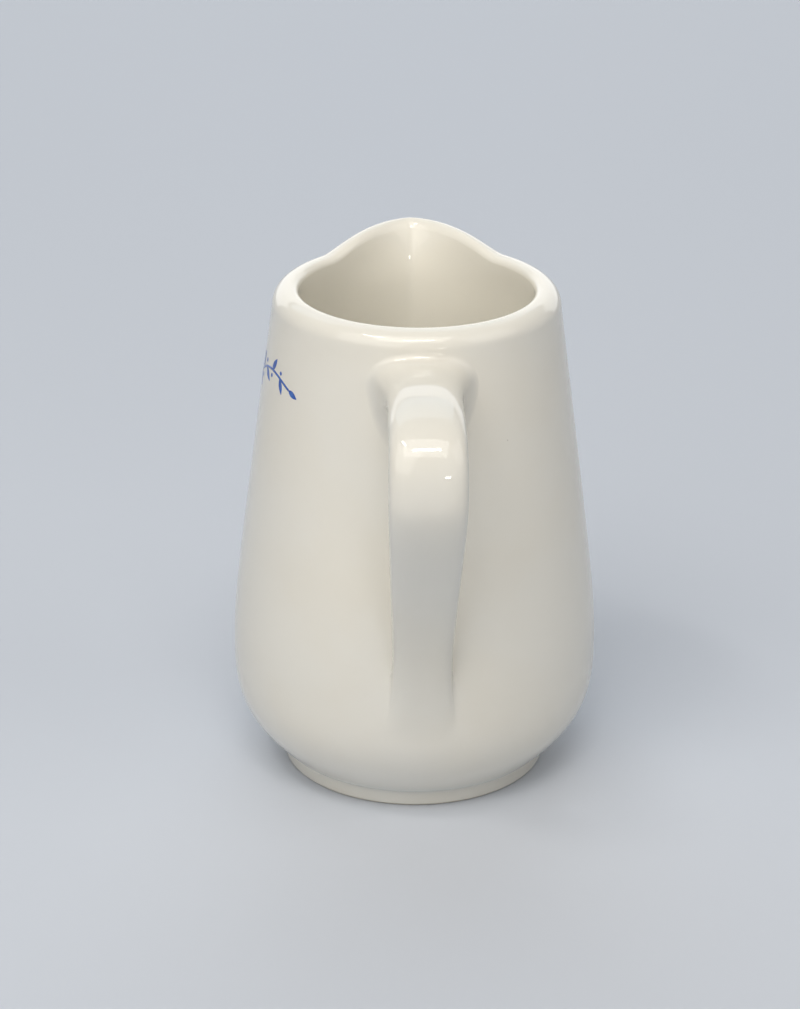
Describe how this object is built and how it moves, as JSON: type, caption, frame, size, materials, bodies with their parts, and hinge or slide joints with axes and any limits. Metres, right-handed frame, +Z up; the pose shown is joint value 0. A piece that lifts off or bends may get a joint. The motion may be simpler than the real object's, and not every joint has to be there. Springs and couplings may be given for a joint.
{
  "type": "cream jug",
  "caption": "Small pear-shaped porcelain jug for cream, with a drawn-out pouring lip, a strap handle on the side opposite the lip and a low foot ring.",
  "frame": {"origin": "centre of the foot ring, on the plane that the jug stands on", "axes": "+Z up along the axis of the body, +Y towards the pouring lip, the handle at -Y, and X = 0 the plane of symmetry"},
  "size_m": [0.073, 0.0965, 0.103],
  "materials": {
    "white_glaze": "glossy transparent glaze on a warm white body",
    "foot_glaze": "glossy glaze on the sides, wiped bare on the face that it stands on",
    "slip": "fired slip, hidden under the glaze"
  },
  "bodies": {
    "root": {"body": "white_glaze", "pouring_lip": "white_glaze", "foot_ring": "foot_glaze", "handle": "white_glaze", "upper_slip_joint": "slip", "lower_slip_joint": "slip"}
  },
  "joints": []
}
